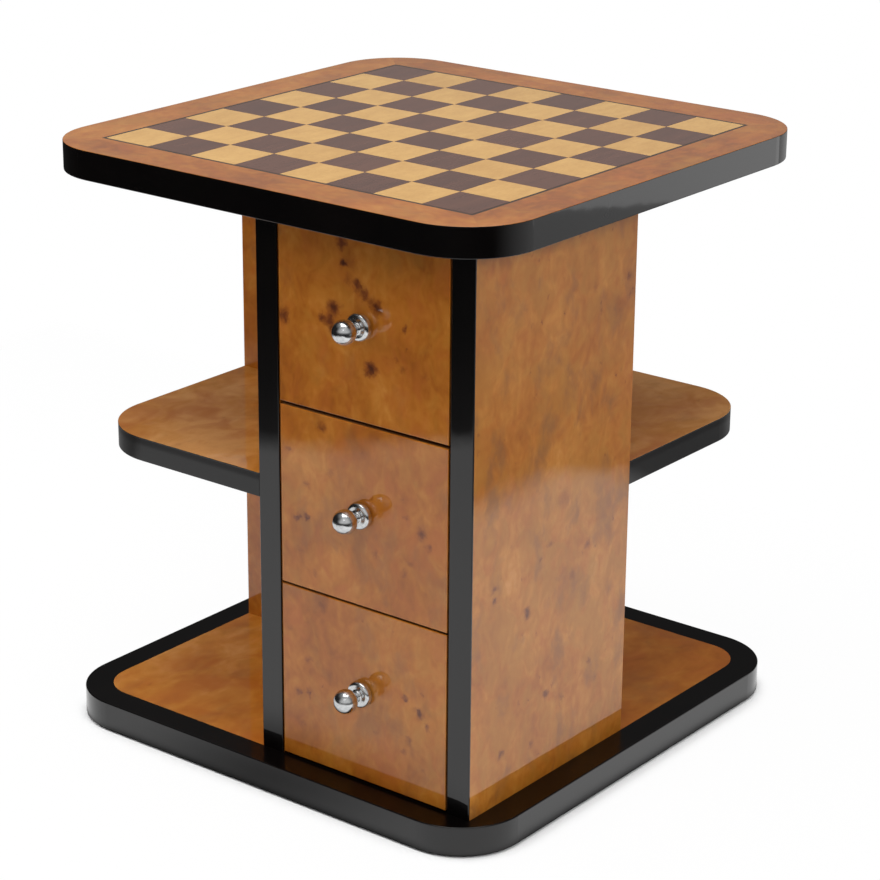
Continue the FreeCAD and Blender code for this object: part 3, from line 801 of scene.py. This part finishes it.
# Knobs and their screws
# Turned metal knobs, each a ball on a short neck and collar, polished and chrome plated.
# A zinc-plated screw from inside the drawer holds each one.
CHROME_DARK = (0.62, 0.63, 0.64, 1)
CHROME_LIGHT = (0.74, 0.75, 0.75, 1)
CHROME_SMOOTH = 0.17
CHROME_WIPED = 0.22
WIPES_PER_METRE = 320

chrome, tree, shader = new_finish("polished_chrome", metallic=1.0)
wipe = noise(tree, object_place(tree, scale=(1, 0.4, 1)), WIPES_PER_METRE, detail=4.0, roughness=0.6)
chrome_colour = colour_steps(tree, wipe.outputs["Fac"], [(0.3, CHROME_DARK), (0.6, CHROME_LIGHT)])
tree.links.new(chrome_colour, shader.inputs["Base Color"])
smear = soft_step(tree, wipe.outputs["Fac"], 0.3, 0.8, CHROME_SMOOTH, CHROME_WIPED)
tree.links.new(smear, shader.inputs["Roughness"])
for tower in ("front", "rear"):
    for level in FRONT_LEAVES:
        put_on(chrome, f"{tower}_{level}_drawer_knob")
        put_on(zinc, f"{tower}_{level}_drawer_knob_screw")

# Studio sheet
# White paper under the table that ends about a metre out and fades at its rim.
# The gloss mirrors it low down on the upright faces, with a painted shadow before the drawers and painted
# light brighter to the right and dimmer far to the left. A painted contact shadow darkens it where things
# touch it, to the camera and in the gloss.
SHEET_CORNERS = [
    (0.89, -1.6), (0.89, 0.7), (0.8, 0.8), (0.7, 0.77), (-1.4, 0.77),
    (-1.4, -0.7), (-0.97, -1.0), (-0.66, -1.13), (-0.266, -1.6),
]
SHEET_FADE = 0.08
SHEET_WHITE = (0.86, 0.86, 0.86, 1)
SHEET_GLOW = 0.96
MIRROR_LEVEL = 0.85
# Painted light and shade: in the gloss the sheet is made brighter towards the right and dimmer far to the
# left.
MIRROR_TO_THE_RIGHT = 1.22
RIGHT_START, RIGHT_END = 0.32, 0.65
MIRROR_TO_THE_LEFT = 0.25
LEFT_START, LEFT_END = -0.8, -1.05
# Painted shadow: in the gloss the sheet is dimmed in a patch just before the drawers, standing in for the
# table's soft shadow on the floor.
FRONT_SHADE = (-0.01, -0.33, 0)
FRONT_SHADE_SQUEEZE = (1, 2.5, 1)
FRONT_SHADE_REACH = 0.235
FRONT_SHADE_LEVEL = 0.37 * MIRROR_LEVEL
CONTACT_SHADOW_REACH = 0.05
CONTACT_SHADOW_DARK = 0.49
CONTACT_SHADOW_CLEAR = 0.75
WHITE = (1, 1, 1, 1)

outline = bmesh.new()
sheet_face = outline.faces.new([outline.verts.new((x, y, 0)) for x, y in SHEET_CORNERS])
sheet_face.normal_update()
bmesh.ops.inset_individual(outline, faces=[sheet_face], thickness=SHEET_FADE)
cover = outline.verts.layers.float.new("cover")
for corner in outline.verts:
    corner[cover] = 0.0 if corner.is_boundary else 1.0
sheet_mesh = bpy.data.meshes.new("studio_sheet")
outline.to_mesh(sheet_mesh)
outline.free()
sheet = bpy.data.objects.new("studio_sheet", sheet_mesh)
bpy.context.scene.collection.objects.link(sheet)
paper, tree, shader = new_finish("white_paper", roughness=0.9)
shader.inputs["Base Color"].default_value = SHEET_WHITE
rays = add_node(tree, "ShaderNodeLightPath").outputs
# Painted contact shadow: the sheet's glow, seen by the camera and in the gloss, is darkened where things
# stand close over it.
contact_occlusion = add_node(tree, "ShaderNodeAmbientOcclusion", {"Distance": CONTACT_SHADOW_REACH})
outside_contact_shadow = soft_step(tree, contact_occlusion.outputs["AO"], CONTACT_SHADOW_DARK, CONTACT_SHADOW_CLEAR)
seen = arithmetic(tree, "MAXIMUM", rays["Is Camera Ray"], rays["Is Transmission Ray"])
seen = product(tree, seen, SHEET_GLOW, outside_contact_shadow)
from_shade = add_node(tree, "ShaderNodeVectorMath", operation="DISTANCE")
from_shade.inputs[1].default_value = Vector(FRONT_SHADE) * Vector(FRONT_SHADE_SQUEEZE)
tree.links.new(object_place(tree, scale=FRONT_SHADE_SQUEEZE), from_shade.inputs[0])
shade = from_shade.outputs["Value"]
shaded = soft_step(tree, shade, 0.0, FRONT_SHADE_REACH, FRONT_SHADE_LEVEL, MIRROR_LEVEL)
along_front = axes(tree)["X"]
painted_light_rightward = soft_step(tree, along_front, RIGHT_START, RIGHT_END, 1.0, MIRROR_TO_THE_RIGHT)
painted_shade_leftward = soft_step(tree, along_front, LEFT_START, LEFT_END, 1.0, MIRROR_TO_THE_LEFT)
mirrored = product(tree, shaded, product(tree, painted_light_rightward, painted_shade_leftward), outside_contact_shadow)
brightness = add_node(tree, "ShaderNodeMix", {"A": 1.0}, data_type="FLOAT")
join(tree, brightness, (rays["Is Glossy Ray"], "Factor"), (mirrored, "B"))
glow = add_node(tree, "ShaderNodeEmission", {"Color": WHITE})
tree.links.new(brightness.outputs["Result"], glow.inputs["Strength"])
lit_paper = add_node(tree, "ShaderNodeMixShader")
tree.links.new(arithmetic(tree, "MAXIMUM", seen, rays["Is Glossy Ray"]), lit_paper.inputs["Fac"])
tree.links.new(shader.outputs["BSDF"], lit_paper.inputs[1])
tree.links.new(glow.outputs["Emission"], lit_paper.inputs[2])
faded_paper = add_node(tree, "ShaderNodeMixShader")
rim_fade = add_node(tree, "ShaderNodeAttribute", attribute_name="cover").outputs["Fac"]
tree.links.new(rim_fade, faded_paper.inputs["Fac"])
tree.links.new(add_node(tree, "ShaderNodeBsdfTransparent").outputs["BSDF"], faded_paper.inputs[1])
tree.links.new(lit_paper.outputs["Shader"], faded_paper.inputs[2])
tree.links.new(faded_paper.outputs["Shader"], tree.nodes["Material Output"].inputs["Surface"])
sheet_mesh.materials.append(paper)

# Room
# Dark walls round the sheet, a little lighter behind the camera, at the back, overhead and low on the right.
# Only the gloss and the chrome mirror them: to the camera the room is white, and it lights the table evenly.
ROOM_AMBIENT = 0.22
ROOM_DARK = 0.015
RIGHT_WALL = (0.5, 0.866, 0)
RIGHT_WALL_SPREAD = (0.2, 1.0)
RIGHT_WALL_LOW = 0.12
RIGHT_WALL_HIGH = 0.34
RIGHT_WALL_RISE = (-0.36, -0.28)
RIGHT_WALL_TOP = (0.05, -0.15)
CAMERA_WALL = (0.62, -0.785, 0)
CAMERA_WALL_SPREAD = (0.2, 0.9)
CAMERA_WALL_FOOT = (-0.05, 0.25)
CAMERA_WALL_GREY = 0.6
REAR_WALL = (-0.615, 0.788, 0)
REAR_WALL_SPREAD = (0.5, 0.9)
REAR_WALL_FOOT = (0.1, 0.25)
REAR_WALL_GREY = 0.055
CEILING = (0, 0, 1)
CEILING_SPREAD = (0.45, 0.95)
CEILING_GREY = 0.25

world = bpy.data.worlds.new("studio")
bpy.context.scene.world = world
world.use_nodes = True
tree = world.node_tree
backdrop = tree.nodes["Background"]
direction = add_node(tree, "ShaderNodeTexCoord").outputs["Generated"]


def facing(towards, spread, grey=1.0):
    """Grey that grows over a spread of cosines as a ray turns towards one side of the room."""
    turn = add_node(tree, "ShaderNodeVectorMath", operation="DOT_PRODUCT")
    turn.inputs[1].default_value = towards
    tree.links.new(direction, turn.inputs[0])
    return soft_step(tree, turn.outputs["Value"], *spread, 0.0, grey)


camera_wall = facing(CAMERA_WALL, CAMERA_WALL_SPREAD, CAMERA_WALL_GREY)
camera_wall = product(tree, camera_wall, facing(CEILING, CAMERA_WALL_FOOT))
rear_wall = facing(REAR_WALL, REAR_WALL_SPREAD, REAR_WALL_GREY)
rear_wall = product(tree, rear_wall, facing(CEILING, REAR_WALL_FOOT))
right_wall_grey = weighed(tree, RIGHT_WALL_LOW, (facing(CEILING, RIGHT_WALL_RISE), RIGHT_WALL_HIGH))
right_wall_grey = product(tree, right_wall_grey, facing(CEILING, RIGHT_WALL_TOP))
right_wall = product(tree, facing(RIGHT_WALL, RIGHT_WALL_SPREAD), right_wall_grey)
ceiling = facing(CEILING, CEILING_SPREAD, CEILING_GREY)
mirrored = weighed(tree, ROOM_DARK, (right_wall, 1.0), (ceiling, 1.0), (camera_wall, 1.0), (rear_wall, 1.0))
rays = add_node(tree, "ShaderNodeLightPath").outputs
level_by_ray = add_node(tree, "ShaderNodeMix", {"A": ROOM_AMBIENT}, data_type="FLOAT")
join(tree, level_by_ray, (rays["Is Glossy Ray"], "Factor"), (mirrored, "B"))
strength = arithmetic(tree, "MAXIMUM", level_by_ray.outputs["Result"], rays["Is Camera Ray"])
tree.links.new(strength, backdrop.inputs["Strength"])
backdrop.inputs["Color"].default_value = WHITE

# Lamps
# Soft panels above, on both sides, by the camera and behind, which the camera doesn't see.
# Each has a place, an aim, a width, a height and a power, and the unmirrored ones stay out of the gloss.
TABLE_MIDDLE = Vector((0, 0, 0.38))
WINDOW_SLANT = math.radians(13)
LAMPS = {
    "overhead": ((0.1, -0.12, 2.5), TABLE_MIDDLE, 1.8, 1.8, 29.5),
    "front_high": ((0.3, -1.3, 2.6), TABLE_MIDDLE, 1.0, 1.0, 9),
    "left_high": ((-0.8, -1.7, 2.3), TABLE_MIDDLE, 1.2, 1.2, 6),
    "left_low": ((-2.0, -0.8, 1.5), TABLE_MIDDLE, 1.0, 1.0, 34),
    "right_low": ((2.0, -0.6, 1.5), TABLE_MIDDLE, 1.0, 1.0, 24),
    "beside_camera": ((1.5, -2.6, 1.5), TABLE_MIDDLE, 0.2, 0.2, 4),
    "above_camera": ((1.2, -2.3, 2.1), TABLE_MIDDLE, 0.3, 0.3, 0.7),
    "right_window": ((1.651, 1.88, 0.487), (1.651, 0, 0.487), 1.3, 0.9, 2.65),
    "rear_panel": ((-0.585, 0.749, 1.055), (0, 0, 1.055), 1.4, 0.6, 0.54),
    "rear_fill": ((0.5, 2.2, 1.3), TABLE_MIDDLE, 1.2, 1.2, 15),
}
UNMIRRORED = ("front_high", "left_high", "left_low", "right_low", "beside_camera", "rear_fill")

for name, (spot, aim, width, height, power) in LAMPS.items():
    lamp = bpy.data.lights.new(name, "AREA")
    lamp.shape = "RECTANGLE"
    lamp.size = width
    lamp.size_y = height
    lamp.energy = power
    holder = bpy.data.objects.new(name, lamp)
    holder.location = spot
    holder.rotation_euler = (Vector(aim) - Vector(spot)).to_track_quat("-Z", "Y").to_euler()
    holder.visible_camera = False
    holder.visible_glossy = name not in UNMIRRORED
    bpy.context.scene.collection.objects.link(holder)
bpy.data.objects["right_window"].rotation_euler.rotate_axis("Z", WINDOW_SLANT)

# Camera
# It looks at the front right corner through a long lens, from about twice the table's height.
# A small roll and half a pixel of shift match the picture.
CAMERA_PLACE = Vector((1.7378, -2.2082, 1.3255))
CAMERA_HEADING = Vector((-0.5781, 0.7425, -0.3384))
CAMERA_ROLL = math.radians(0.5)
LENS_MM = 109.12
SENSOR_MM = 36
PICTURE_PIXELS = 880
HALF_PIXEL = 0.5 / PICTURE_PIXELS

lens = bpy.data.cameras.new("camera")
lens.lens = LENS_MM
lens.sensor_width = SENSOR_MM
lens.shift_x = -HALF_PIXEL
lens.shift_y = HALF_PIXEL
camera = bpy.data.objects.new("camera", lens)
camera.location = CAMERA_PLACE
level_turn = CAMERA_HEADING.to_track_quat("-Z", "Y")
camera.rotation_euler = (level_turn.to_matrix() @ Euler((0, 0, CAMERA_ROLL)).to_matrix()).to_euler()
bpy.context.scene.collection.objects.link(camera)
bpy.context.scene.camera = camera
bpy.context.scene.view_settings.view_transform = "Standard"
